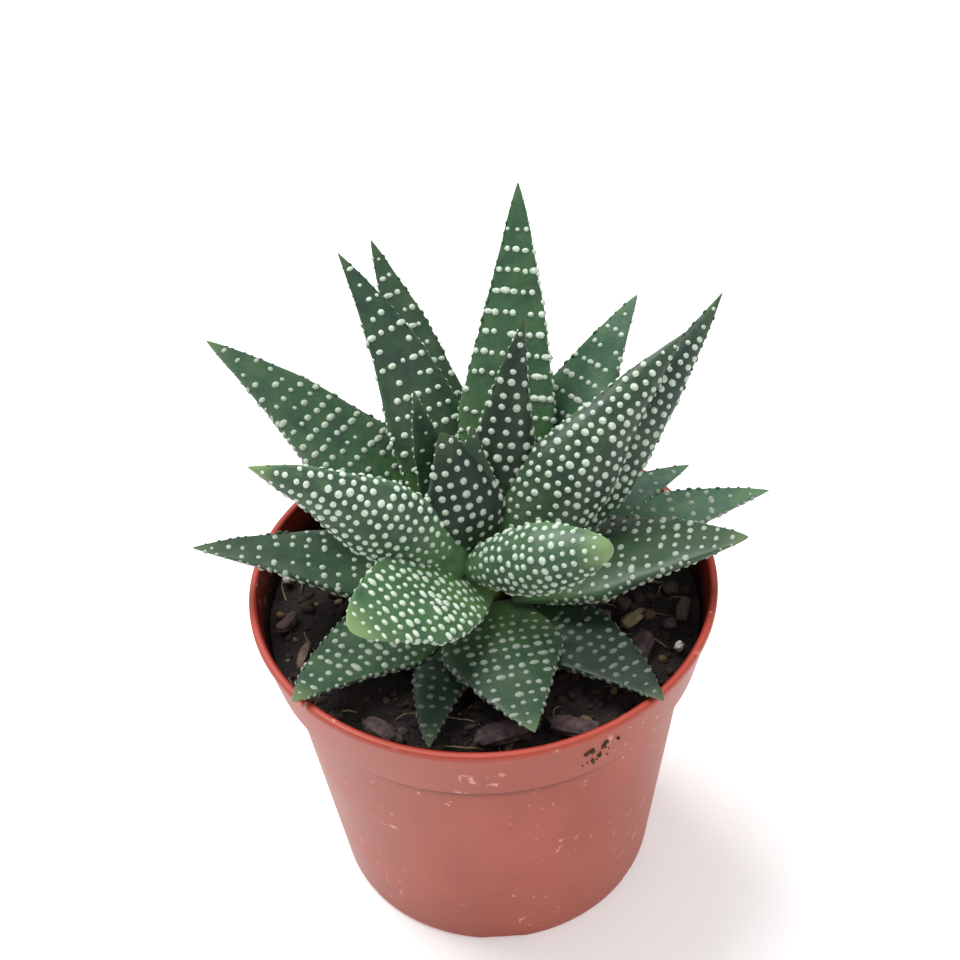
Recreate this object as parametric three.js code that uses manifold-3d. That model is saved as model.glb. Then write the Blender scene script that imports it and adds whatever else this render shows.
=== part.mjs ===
// Potted haworthia: a rosette of fleshy white-warted leaves on a short stem, growing in the potting
// soil of a thin-walled plastic nursery pot with a tapered body, a collar and a rolled lip.
// Millimetres, +Z up. The origin is the middle of the pot's flat underside.
import * as THREE from 'three';
import { mergeVertices } from 'three/addons/utils/BufferGeometryUtils.js';
import Module from 'manifold-3d';

const wasm = await Module();
wasm.setup();

// ---- Driving dimensions -------------------------------------------------------------------------
// Pot
const POT_HEIGHT = 85;
const RIM_DIAMETER = 105;
const BASE_DIAMETER = 78;
const POT_WALL = 1.3;
const POT_FLOOR = 1.8;
const COLLAR_HEIGHT = 16;
const COLLAR_STEP = 2.6;
const COLLAR_TAPER = 2.6;
const LIP_HEIGHT = 2;
const LIP_PROUD = 0.5;
const FOOT_ROUND = 1.5;
const DRAIN_HOLES = 8;
const DRAIN_HOLE_DIAMETER = 8;
const DRAIN_CIRCLE_DIAMETER = 52;
const FOOT_NOTCHES = 6;
const FOOT_NOTCH_WIDTH = 14;
const FOOT_NOTCH_HEIGHT = 1.6;
const FOOT_NOTCH_DEPTH = 0.9;
// Soil and stem
const HEADSPACE = 9;
const SOIL_CROWN = 1.5;
const STEM_DIAMETER = 12;
const STEM_TOP_DIAMETER = 5;
const STEM_HEIGHT = 18;
const STEM_BURIED = 15;
// Named clearance between pieces that touch in the real plant
const GAP = 0.3;
// Facets
const ROUND_STEPS = 40;
const LEAF_RINGS = 9;
const LEAF_SIDES = 10;

// A leaf is fullest at FULLEST of its length, and starts at BASE_SHARE of its width and thickness.
// The inner face is nearly flat: it takes INNER_SHARE of the thickness.
const FULLEST = 0.4;
const BASE_SHARE = 0.6;
const INNER_SHARE = 0.22;
// The height of stem that the leaves below are listed on.
const LISTED_STEM = 18;

// The leaves, youngest first. Angles are degrees about the stem from +X; heights are from the top of a
// stem LISTED_STEM tall: on a shorter or taller stem the roots close up or spread out along it, and
// each leaf goes with its root.
// root: angle, radius, height; tip: angle, radius, height; arch and sway move the middle of
// the leaf up off its chord and sideways; twist turns the leaf about its own length; taper is the
// power of its outline, low for a blunt leaf and 1 for a straight-sided one; base and fullest stand
// in for BASE_SHARE and FULLEST in a leaf that is narrow where it leaves the stem.
const LEAVES = [
  { root: [-60, 3, -1], tip: [96, 3, 32], arch: -1, sway: 0.5, width: 11, depth: 3, twist: 0, taper: 0.9 },
  { root: [150, 4, -2], tip: [144, 15, 37], arch: -2.5, sway: -1, width: 10, depth: 4, twist: 30, taper: 0.9 },
  { root: [20, 5, -2], tip: [57, 22, 47], arch: -1, sway: 2, width: 14, depth: 5, twist: 156, taper: 0.9 },
  {
    root: [-150, 4, -1], tip: [167, 7, 31], arch: 0.5, sway: -1,
    width: 20, depth: 8, twist: -165, taper: 0.75,
  },
  { root: [-30, 6, -4], tip: [23, 50, 40], arch: 0.5, sway: 1, width: 20, depth: 9, twist: 125, taper: 0.95 },
  {
    root: [-125, 8, -1], tip: [-168, 47, 34], arch: 2.3, sway: -1,
    width: 18, depth: 8, twist: -105, taper: 0.85, base: 0.45, fullest: 0.45,
  },
  {
    root: [-125, 7, -2], tip: [-40, 35, 18], arch: 0.8, sway: -1,
    width: 15.5, depth: 8.5, twist: 110, taper: 0.5, base: 0.25, fullest: 0.6,
  },
  {
    root: [-85, 6, -8], tip: [-125, 46, 14], arch: 3, sway: 0.5,
    width: 23, depth: 5.5, twist: 22, taper: 0.55, base: 0.25, fullest: 0.6,
  },
  { root: [70, 6, -6], tip: [75, 49, 63], arch: -0.5, sway: -1.5, width: 22, depth: 7, twist: 0, taper: 0.85 },
  { root: [130, 6, -8], tip: [121, 55, 48], arch: 2, sway: -3.5, width: 20, depth: 7, twist: 0, taper: 0.9 },
  { root: [100, 6, -9], tip: [111, 59, 46], arch: 2, sway: -1, width: 19, depth: 7, twist: 0, taper: 0.85 },
  { root: [15, 6, -9], tip: [26, 61.5, 45], arch: -1.5, sway: -2, width: 17, depth: 7, twist: 130, taper: 0.9 },
  { root: [40, 6, -10], tip: [44, 53, 39], arch: 1, sway: 1.5, width: 25, depth: 7, twist: 0, taper: 0.85 },
  { root: [148, 7, -8], tip: [147, 71, 32], arch: 2.5, sway: -2, width: 26, depth: 8, twist: 0, taper: 0.85 },
  { root: [-10, 7, -10], tip: [-10, 58, 7], arch: 1, sway: 1.5, width: 25, depth: 8, twist: 0, taper: 0.75 },
  { root: [-80, 7, -12], tip: [-80, 50, -6], arch: 0, sway: -0.5, width: 26, depth: 7, twist: 0, taper: 0.9 },
  {
    root: [180, 7, -12], tip: [-179, 63, 5], arch: 1.5, sway: -1.5,
    width: 21, depth: 7, twist: 0, taper: 0.85,
  },
  { root: [60, 7, -12], tip: [60, 52, 6], arch: 1.5, sway: 0, width: 20, depth: 7, twist: 0, taper: 0.9 },
  { root: [95, 7, -13], tip: [95, 57, 1], arch: 1.5, sway: 0, width: 21, depth: 7, twist: 0, taper: 0.9 },
  { root: [130, 7, -13], tip: [130, 55, 4], arch: 1.5, sway: 0, width: 20, depth: 7, twist: 0, taper: 0.9 },
  { root: [15, 7, -14], tip: [8, 66, 3], arch: 2, sway: 2, width: 21, depth: 7, twist: 0, taper: 0.8 },
  { root: [-140, 7, -14], tip: [-137, 55, -6], arch: -1, sway: -4, width: 22, depth: 6, twist: 0, taper: 0.8 },
  { root: [-50, 7, -14], tip: [-50, 55, -7], arch: 0, sway: 2.5, width: 20, depth: 6, twist: 0, taper: 0.85 },
  { root: [40, 7, -15], tip: [24, 54, 1], arch: 2.5, sway: 0.5, width: 18, depth: 6, twist: 0, taper: 0.8 },
  {
    root: [-105, 7, -15], tip: [-105, 49, -11], arch: 0, sway: -2.5,
    width: 14, depth: 5, twist: 0, taper: 0.8,
  },
];

// Pieces lying loose on the soil: their angle about the stem and distance in from the soil's edge,
// size and turn.
const BARK_CHIPS = [
  { at: [-85, 9], size: [15, 5, 2.6], turn: 20 },
  { at: [-66, 6], size: [13, 5, 2.4], turn: -15 },
  { at: [-31, 11], size: [11, 6, 3], turn: 60 },
  { at: [-17, 15], size: [5, 3.5, 2], turn: 15 },
  { at: [-9, 4], size: [7, 3, 2], turn: 70 },
  { at: [-121, 5], size: [10, 4, 2.4], turn: -40 },
  { at: [-160, 6], size: [10, 2.2, 1.6], turn: 80 },
  { at: [-175, 4], size: [7, 3, 2], turn: 60 },
  { at: [75, 5], size: [10, 5, 2.4], turn: -10 },
  { at: [112, 5], size: [9, 4, 2.4], turn: 25 },
];
const PERLITE_GRAINS = [
  { at: [-24, 3], size: 2.6 },
  { at: [168, 2.5], size: 2.4 },
  { at: [-152, 13], size: 2.6 },
  { at: [35, 4], size: 3 },
];

// ---- Places worked out from the sizes -----------------------------------------------------------
const RIM_RADIUS = RIM_DIAMETER / 2;
const BASE_RADIUS = BASE_DIAMETER / 2;
const SOIL_LEVEL = POT_HEIGHT - HEADSPACE;
const STEM_TOP = SOIL_LEVEL + STEM_HEIGHT;
const COLLAR_BOTTOM = POT_HEIGHT - COLLAR_HEIGHT;
const LIP_BOTTOM = POT_HEIGHT - LIP_HEIGHT;
const COLLAR_TOP_RADIUS = RIM_RADIUS - LIP_PROUD;
const COLLAR_BOTTOM_RADIUS = COLLAR_TOP_RADIUS - COLLAR_TAPER;
const BODY_TOP_RADIUS = COLLAR_BOTTOM_RADIUS - COLLAR_STEP;

const radians = (degrees) => (degrees * Math.PI) / 180;

// Radius of the pot's inner wall at height z.
function innerRadius(z) {
  const ledge = COLLAR_BOTTOM + POT_WALL;
  if (z > ledge) {
    const rise = (z - ledge) / (LIP_BOTTOM - ledge);
    return COLLAR_BOTTOM_RADIUS + COLLAR_TAPER * Math.min(rise, 1) - POT_WALL;
  }
  const rise = z / COLLAR_BOTTOM;
  return BASE_RADIUS + (BODY_TOP_RADIUS - BASE_RADIUS) * rise - POT_WALL;
}

// ---- Mesh and solid helpers ---------------------------------------------------------------------
// A closed, position-only geometry with shared vertices and no empty triangles.
function closedGeometry(source) {
  const bare = new THREE.BufferGeometry();
  bare.setAttribute('position', source.getAttribute('position').clone());
  if (source.index) bare.setIndex(source.index.clone());
  const merged = mergeVertices(bare, 1e-5);
  const kept = [];
  const corners = merged.index.array;
  for (let i = 0; i < corners.length; i += 3) {
    const [a, b, c] = [corners[i], corners[i + 1], corners[i + 2]];
    if (a !== b && b !== c && c !== a) kept.push(a, b, c);
  }
  merged.setIndex(kept);
  return merged;
}

function toSolid(geometry) {
  const closed = closedGeometry(geometry);
  return new wasm.Manifold(new wasm.Mesh({
    numProp: 3,
    vertProperties: new Float32Array(closed.getAttribute('position').array),
    triVerts: new Uint32Array(closed.index.array),
  }));
}

function toGeometry(solid) {
  const mesh = solid.getMesh();
  const geometry = new THREE.BufferGeometry();
  geometry.setAttribute('position', new THREE.BufferAttribute(new Float32Array(mesh.vertProperties), 3));
  geometry.setIndex(Array.from(mesh.triVerts));
  return geometry;
}

// The biggest separate piece of a solid: a cut can leave crumbs beside the leaf itself.
function mainPiece(solid) {
  const pieces = solid.decompose();
  pieces.sort((a, b) => b.volume() - a.volume());
  return pieces[0];
}

// A profile of [radius, height] points turned about +Z, listed so that the faces point out.
function revolve(profile, steps = ROUND_STEPS) {
  const points = profile.map(([r, z]) => new THREE.Vector2(r, z));
  const lathe = new THREE.LatheGeometry(points, steps);
  lathe.rotateX(Math.PI / 2);
  return lathe;
}

// ---- Pot ----------------------------------------------------------------------------------------
function makePot() {
  const innerFloor = innerRadius(POT_FLOOR);
  const footRise = FOOT_ROUND * (1 - Math.SQRT1_2);
  const shell = toSolid(revolve([
    [0, 0],
    [BASE_RADIUS - FOOT_ROUND, 0],
    [BASE_RADIUS - footRise, footRise],
    [BASE_RADIUS + (BODY_TOP_RADIUS - BASE_RADIUS) * (FOOT_ROUND / COLLAR_BOTTOM), FOOT_ROUND],
    [BODY_TOP_RADIUS, COLLAR_BOTTOM - POT_WALL / 2],
    [COLLAR_BOTTOM_RADIUS - POT_WALL / 2, COLLAR_BOTTOM - POT_WALL / 4],
    [COLLAR_BOTTOM_RADIUS, COLLAR_BOTTOM + POT_WALL / 2],
    [COLLAR_TOP_RADIUS, LIP_BOTTOM],
    [RIM_RADIUS, LIP_BOTTOM + LIP_HEIGHT / 4],
    [RIM_RADIUS, POT_HEIGHT - LIP_HEIGHT / 4],
    [RIM_RADIUS - POT_WALL / 2, POT_HEIGHT],
    [RIM_RADIUS - POT_WALL, POT_HEIGHT],
    [COLLAR_TOP_RADIUS - POT_WALL, POT_HEIGHT - LIP_HEIGHT / 4],
    [COLLAR_TOP_RADIUS - POT_WALL, LIP_BOTTOM],
    [COLLAR_BOTTOM_RADIUS - POT_WALL, COLLAR_BOTTOM + POT_WALL],
    [BODY_TOP_RADIUS - POT_WALL, COLLAR_BOTTOM],
    [innerFloor, POT_FLOOR],
    [0, POT_FLOOR],
  ]));
  const cutters = [];
  for (let i = 0; i < DRAIN_HOLES; i += 1) {
    const angle = radians((360 / DRAIN_HOLES) * (i + 0.5));
    const hole = new THREE.CylinderGeometry(
      DRAIN_HOLE_DIAMETER / 2, DRAIN_HOLE_DIAMETER / 2, 3 * POT_FLOOR, 16,
    );
    hole.rotateX(Math.PI / 2);
    const reach = DRAIN_CIRCLE_DIAMETER / 2;
    hole.translate(reach * Math.cos(angle), reach * Math.sin(angle), POT_FLOOR / 2);
    cutters.push(toSolid(hole));
  }
  for (let i = 0; i < FOOT_NOTCHES; i += 1) {
    const notch = new THREE.BoxGeometry(2 * FOOT_NOTCH_DEPTH, FOOT_NOTCH_WIDTH, 2 * FOOT_NOTCH_HEIGHT);
    notch.translate(BASE_RADIUS, 0, 0);
    notch.rotateZ(radians((360 / FOOT_NOTCHES) * (i + 0.5)));
    cutters.push(toSolid(notch));
  }
  return mainPiece(shell.subtract(wasm.Manifold.union(cutters)));
}

// The collar and lip made thicker by GAP all round: leaves that lean over the rim stop short of it.
function rimEnvelope() {
  return toSolid(revolve([
    [COLLAR_BOTTOM_RADIUS + GAP, COLLAR_BOTTOM],
    [RIM_RADIUS + GAP, LIP_BOTTOM],
    [RIM_RADIUS + GAP, POT_HEIGHT + GAP],
    [COLLAR_TOP_RADIUS - POT_WALL - GAP, POT_HEIGHT + GAP],
    [COLLAR_TOP_RADIUS - POT_WALL - GAP, LIP_BOTTOM],
    [COLLAR_BOTTOM_RADIUS - POT_WALL - GAP, COLLAR_BOTTOM],
    [COLLAR_BOTTOM_RADIUS + GAP, COLLAR_BOTTOM],
  ]));
}

// ---- Stem and soil ------------------------------------------------------------------------------
// The stem, or with grow its envelope: a dome-topped cone that runs down into the soil.
function makeStem(grow = 0) {
  return toSolid(revolve([
    [0, SOIL_LEVEL - STEM_BURIED - grow],
    [STEM_DIAMETER / 3 + grow, SOIL_LEVEL - STEM_BURIED - grow],
    [STEM_DIAMETER / 2 + grow, SOIL_LEVEL],
    [STEM_TOP_DIAMETER / 2 + grow, STEM_TOP - STEM_TOP_DIAMETER / 4],
    [STEM_TOP_DIAMETER / 4 + grow, STEM_TOP + grow],
    [0, STEM_TOP + grow],
  ], 20));
}

// The soil fills the pot up to its level, a little higher in the middle; grow lifts its surface.
function makeSoil(grow = 0) {
  const edge = (z) => innerRadius(z) - GAP;
  const floor = POT_FLOOR + GAP;
  const surface = SOIL_LEVEL + grow;
  const ledge = COLLAR_BOTTOM + POT_WALL + GAP;
  return toSolid(revolve([
    [0, floor],
    [edge(floor), floor],
    [edge(COLLAR_BOTTOM), COLLAR_BOTTOM + GAP],
    [edge(ledge), ledge],
    [edge(surface), surface],
    [edge(surface) * 0.7, surface + SOIL_CROWN * 0.5],
    [0, surface + SOIL_CROWN],
  ]));
}

// Radius of the soil's surface, and its height at a radius, from the same points as its profile.
const SOIL_EDGE = innerRadius(SOIL_LEVEL) - GAP;
function soilHeight(radius) {
  const shoulder = SOIL_EDGE * 0.7;
  if (radius < shoulder) return SOIL_LEVEL + SOIL_CROWN * (1 - 0.5 * (radius / shoulder));
  return SOIL_LEVEL + SOIL_CROWN * 0.5 * ((SOIL_EDGE - radius) / (SOIL_EDGE - shoulder));
}

// ---- Leaves -------------------------------------------------------------------------------------
const place = ([angle, radius, height], top) => new THREE.Vector3(
  radius * Math.cos(radians(angle)), radius * Math.sin(radians(angle)), top + height,
);

// Share of a leaf's full width and depth at t, from 0 at the root to 1 at the tip: a quarter sine up
// to the fullest place, then a power of what is left of the length.
function leafShare({ base = BASE_SHARE, fullest = FULLEST, taper }, t) {
  if (t < fullest) return base + (1 - base) * Math.sin(((t / fullest) * Math.PI) / 2);
  return ((1 - t) / (1 - fullest)) ** taper;
}

// A leaf is a loft along a quadratic curve from root to tip. Each ring is two half ellipses back to
// back, flat on the inner side and deep on the outer. grow makes the leaf's envelope for its neighbours.
function makeLeaf(leaf, grow = 0) {
  const top = STEM_TOP + leaf.root[2] * (STEM_HEIGHT / LISTED_STEM - 1);
  const root = place(leaf.root, top);
  const tip = place(leaf.tip, top);
  const chord = tip.clone().sub(root);
  const along = chord.clone().normalize();
  const side = new THREE.Vector3(0, 0, 1).cross(along).normalize();
  const up = along.clone().cross(side);
  const middle = root.clone().add(tip).multiplyScalar(0.5);
  middle.addScaledVector(up, 2 * leaf.arch).addScaledVector(side, 2 * leaf.sway);
  const spine = new THREE.QuadraticBezierCurve3(
    root.clone().addScaledVector(along, -grow), middle, tip.clone().addScaledVector(along, grow),
  );
  const twist = radians(leaf.twist);
  const positions = [];
  const indices = [];
  for (let i = 0; i < LEAF_RINGS; i += 1) {
    const t = i / LEAF_RINGS;
    const centre = spine.getPoint(t);
    const tangent = spine.getTangent(t);
    const inner = up.clone().addScaledVector(tangent, -up.dot(tangent)).normalize();
    const across = inner.clone().cross(tangent);
    const face = inner.clone().multiplyScalar(Math.cos(twist)).addScaledVector(across, Math.sin(twist));
    const edge = across.clone().multiplyScalar(Math.cos(twist)).addScaledVector(inner, -Math.sin(twist));
    const halfWidth = (leaf.width / 2) * leafShare(leaf, t) + grow;
    const depth = leaf.depth * leafShare(leaf, t);
    for (let j = 0; j < LEAF_SIDES; j += 1) {
      const angle = (2 * Math.PI * j) / LEAF_SIDES;
      const share = Math.sin(angle) > 0 ? INNER_SHARE : 1 - INNER_SHARE;
      const point = centre.clone();
      point.addScaledVector(edge, halfWidth * Math.cos(angle));
      point.addScaledVector(face, (share * depth + grow) * Math.sin(angle));
      positions.push(point.x, point.y, point.z);
    }
  }
  const rootCentre = spine.getPoint(0);
  const tipPoint = spine.getPoint(1);
  positions.push(rootCentre.x, rootCentre.y, rootCentre.z, tipPoint.x, tipPoint.y, tipPoint.z);
  const rootIndex = LEAF_RINGS * LEAF_SIDES;
  const last = (LEAF_RINGS - 1) * LEAF_SIDES;
  for (let j = 0; j < LEAF_SIDES; j += 1) {
    const next = (j + 1) % LEAF_SIDES;
    indices.push(rootIndex, next, j);
    indices.push(rootIndex + 1, last + j, last + next);
    for (let i = 0; i < LEAF_RINGS - 1; i += 1) {
      const low = i * LEAF_SIDES;
      const high = low + LEAF_SIDES;
      indices.push(low + j, high + next, high + j, low + j, low + next, high + next);
    }
  }
  const geometry = new THREE.BufferGeometry();
  geometry.setAttribute('position', new THREE.Float32BufferAttribute(positions, 3));
  geometry.setIndex(indices);
  return toSolid(geometry);
}

// ---- Loose pieces on the soil -------------------------------------------------------------------
// A bark chip is a thin slab with a broken outline; it lies level on the highest soil under it. grow
// makes its envelope, which a chip or grain laid after it stops short of.
function makeChip(chip, grow = 0) {
  const [length, width, depth] = chip.size.map((size) => size + 2 * grow);
  const outline = new THREE.Shape([
    new THREE.Vector2(-length / 2, -width * 0.2),
    new THREE.Vector2(-length * 0.2, -width / 2),
    new THREE.Vector2(length * 0.35, -width * 0.4),
    new THREE.Vector2(length / 2, width * 0.1),
    new THREE.Vector2(length * 0.15, width / 2),
    new THREE.Vector2(-length * 0.35, width * 0.35),
  ]);
  const slab = new THREE.ExtrudeGeometry(outline, { depth, bevelEnabled: false });
  const [angle, inset] = chip.at;
  const radius = SOIL_EDGE - inset;
  const lift = soilHeight(Math.max(radius - chip.size[0] / 2, 0)) + GAP - grow;
  slab.rotateZ(radians(chip.turn));
  slab.translate(radius * Math.cos(radians(angle)), radius * Math.sin(radians(angle)), lift);
  return toSolid(slab);
}

function makeGrain(grain) {
  const lump = new THREE.IcosahedronGeometry(grain.size / 2, 0);
  const [angle, inset] = grain.at;
  const radius = SOIL_EDGE - inset;
  const lift = soilHeight(radius - grain.size / 2) + GAP + grain.size / 2;
  lump.translate(radius * Math.cos(radians(angle)), radius * Math.sin(radians(angle)), lift);
  return toSolid(lump);
}

// ---- Materials and assembly ---------------------------------------------------------------------
const finish = (color, roughness) => new THREE.MeshStandardMaterial({ color, roughness, metalness: 0 });

const plant = new THREE.Group();

function add(name, solid, color, roughness) {
  const mesh = new THREE.Mesh(toGeometry(solid), finish(color, roughness));
  mesh.name = name;
  plant.add(mesh);
}

const twoDigits = (n) => String(n).padStart(2, '0');

add('pot', makePot(), 0xb8664f, 0.45);
add('potting_soil', makeSoil().subtract(makeStem(GAP)), 0x2a2220, 0.95);
add('stem', makeStem(), 0x6f8a4a, 0.7);

let taken = makeStem(GAP).add(makeSoil(GAP)).add(rimEnvelope());
LEAVES.forEach((leaf, i) => {
  const solid = mainPiece(makeLeaf(leaf).subtract(taken));
  add(`leaf_${twoDigits(i + 1)}`, solid, 0x35603f, 0.5);
  taken = taken.add(makeLeaf(leaf, GAP));
});
taken = taken.subtract(makeSoil(GAP));
BARK_CHIPS.forEach((chip, i) => {
  add(`bark_chip_${twoDigits(i + 1)}`, mainPiece(makeChip(chip).subtract(taken)), 0x4a3530, 0.9);
  taken = taken.add(makeChip(chip, GAP));
});
PERLITE_GRAINS.forEach((grain, i) => {
  add(`perlite_grain_${twoDigits(i + 1)}`, mainPiece(makeGrain(grain).subtract(taken)), 0xd8d4cc, 0.9);
});

export default plant;
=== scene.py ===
import math

import bpy
import numpy as np
from mathutils import Matrix, Vector


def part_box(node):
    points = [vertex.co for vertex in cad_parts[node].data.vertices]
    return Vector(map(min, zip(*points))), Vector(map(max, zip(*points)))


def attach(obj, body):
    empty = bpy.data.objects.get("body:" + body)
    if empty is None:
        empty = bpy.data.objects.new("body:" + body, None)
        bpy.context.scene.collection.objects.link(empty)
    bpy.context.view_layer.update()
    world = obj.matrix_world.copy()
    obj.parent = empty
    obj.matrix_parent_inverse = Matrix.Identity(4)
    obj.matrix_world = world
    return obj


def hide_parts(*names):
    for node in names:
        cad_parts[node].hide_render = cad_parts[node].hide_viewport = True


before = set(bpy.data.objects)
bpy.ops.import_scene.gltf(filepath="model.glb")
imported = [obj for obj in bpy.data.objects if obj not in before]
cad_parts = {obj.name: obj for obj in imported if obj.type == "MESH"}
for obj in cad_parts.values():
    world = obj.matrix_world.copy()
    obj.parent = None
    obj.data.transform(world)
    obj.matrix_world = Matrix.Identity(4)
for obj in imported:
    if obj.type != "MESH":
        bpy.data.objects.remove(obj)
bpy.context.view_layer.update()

# Potted haworthia: a rosette of fleshy leaves with raised white warts, in a thin plastic nursery pot.
# Shapes are worked out in millimetres and written to the meshes in metres.
MM = 0.001

# ---- Sizes read from the frame -------------------------------------------------------------------
pot_low, pot_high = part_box("pot")
soil_low, soil_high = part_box("potting_soil")
stem_low, stem_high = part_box("stem")
RIM_RADIUS = (pot_high.x - pot_low.x) / 2 / MM
POT_HEIGHT = pot_high.z / MM
SOIL_CROWN = 1.5
SOIL_LEVEL = soil_high.z / MM - SOIL_CROWN
STEM_TOP = stem_high.z / MM

# ---- Sizes that the frame's boxes don't give -----------------------------------------------------
BASE_RADIUS = 39
WALL = 1.3
FLOOR = 1.8
COLLAR_HEIGHT = 16
COLLAR_STEP = 2.6
COLLAR_TAPER = 2.6
LIP_HEIGHT = 2
LIP_PROUD = 0.5
DRAIN_HOLES = 8
DRAIN_HOLE_RADIUS = 4
DRAIN_CIRCLE_RADIUS = 26
FOOT_NOTCHES = 6
# Half the depth, width and height of the oval cutter that makes a foot notch.
FOOT_NOTCH_HALF = (0.9, 7.02, 1.6)
GAP = 0.3

COLLAR_BOTTOM = POT_HEIGHT - COLLAR_HEIGHT
LIP_BOTTOM = POT_HEIGHT - LIP_HEIGHT
COLLAR_TOP_RADIUS = RIM_RADIUS - LIP_PROUD
COLLAR_BOTTOM_RADIUS = COLLAR_TOP_RADIUS - COLLAR_TAPER
BODY_TOP_RADIUS = COLLAR_BOTTOM_RADIUS - COLLAR_STEP

# The shape of a leaf: fullest at FULLEST of its length, BASE_SHARE of its full width and depth at the
# root, and INNER_SHARE of its depth on the nearly flat inner side.
FULLEST = 0.4
BASE_SHARE = 0.6
INNER_SHARE = 0.22
# The step, as a share of a leaf's length or an angle in radians, over which its slopes are measured.
NUDGE = 1e-3

# The leaves, youngest first, as the model has them: root and tip are angle in degrees, radius and
# height over the top of the stem; arch and sway move the middle up and sideways; twist turns the leaf
# about its length; taper is the power of the outline; base and fullest stand in for the shares above.
LEAVES = [
    dict(root=(-60, 3, -1), tip=(96, 3, 32), arch=-1, sway=0.5, width=11, depth=3, twist=0, taper=0.9),
    dict(root=(150, 4, -2), tip=(144, 15, 37), arch=-2.5, sway=-1, width=10, depth=4, twist=30, taper=0.9),
    dict(root=(20, 5, -2), tip=(57, 22, 47), arch=-1, sway=2, width=14, depth=5, twist=156, taper=0.9),
    dict(root=(-150, 4, -1), tip=(167, 7, 31), arch=0.5, sway=-1, width=20, depth=8, twist=-165, taper=0.75),
    dict(root=(-30, 6, -4), tip=(23, 50, 40), arch=0.5, sway=1, width=20, depth=9, twist=125, taper=0.95),
    dict(root=(-125, 8, -1), tip=(-168, 47, 34), arch=2.3, sway=-1,
         width=18, depth=8, twist=-105, taper=0.85, base=0.45, fullest=0.45),
    dict(root=(-125, 7, -2), tip=(-40, 35, 18), arch=0.8, sway=-1,
         width=15.5, depth=8.5, twist=110, taper=0.5, base=0.25, fullest=0.6),
    dict(root=(-85, 6, -8), tip=(-125, 46, 14), arch=3, sway=0.5,
         width=23, depth=5.5, twist=22, taper=0.55, base=0.25, fullest=0.6),
    dict(root=(70, 6, -6), tip=(75, 49, 63), arch=-0.5, sway=-1.5, width=22, depth=7, twist=0, taper=0.85),
    dict(root=(130, 6, -8), tip=(121, 55, 48), arch=2, sway=-3.5, width=20, depth=7, twist=0, taper=0.9),
    dict(root=(100, 6, -9), tip=(111, 59, 46), arch=2, sway=-1, width=19, depth=7, twist=0, taper=0.85),
    dict(root=(15, 6, -9), tip=(26, 61.5, 45), arch=-1.5, sway=-2, width=17, depth=7, twist=130, taper=0.9),
    dict(root=(40, 6, -10), tip=(44, 53, 39), arch=1, sway=1.5, width=25, depth=7, twist=0, taper=0.85),
    dict(root=(148, 7, -8), tip=(147, 71, 32), arch=2.5, sway=-2, width=26, depth=8, twist=0, taper=0.85),
    dict(root=(-10, 7, -10), tip=(-10, 58, 7), arch=1, sway=1.5, width=25, depth=8, twist=0, taper=0.75),
    dict(root=(-80, 7, -12), tip=(-80, 50, -6), arch=0, sway=-0.5, width=26, depth=7, twist=0, taper=0.9),
    dict(root=(180, 7, -12), tip=(-179, 63, 5), arch=1.5, sway=-1.5, width=21, depth=7, twist=0, taper=0.85),
    dict(root=(60, 7, -12), tip=(60, 52, 6), arch=1.5, sway=0, width=20, depth=7, twist=0, taper=0.9),
    dict(root=(95, 7, -13), tip=(95, 57, 1), arch=1.5, sway=0, width=21, depth=7, twist=0, taper=0.9),
    dict(root=(130, 7, -13), tip=(130, 55, 4), arch=1.5, sway=0, width=20, depth=7, twist=0, taper=0.9),
    dict(root=(15, 7, -14), tip=(8, 66, 3), arch=2, sway=2, width=21, depth=7, twist=0, taper=0.8),
    dict(root=(-140, 7, -14), tip=(-137, 55, -6), arch=-1, sway=-4, width=22, depth=6, twist=0, taper=0.8),
    dict(root=(-50, 7, -14), tip=(-50, 55, -7), arch=0, sway=2.5, width=20, depth=6, twist=0, taper=0.85),
    dict(root=(40, 7, -15), tip=(24, 54, 1), arch=2.5, sway=0.5, width=18, depth=6, twist=0, taper=0.8),
    dict(root=(-105, 7, -15), tip=(-105, 49, -11), arch=0, sway=-2.5, width=14, depth=5, twist=0, taper=0.8),
]
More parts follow.
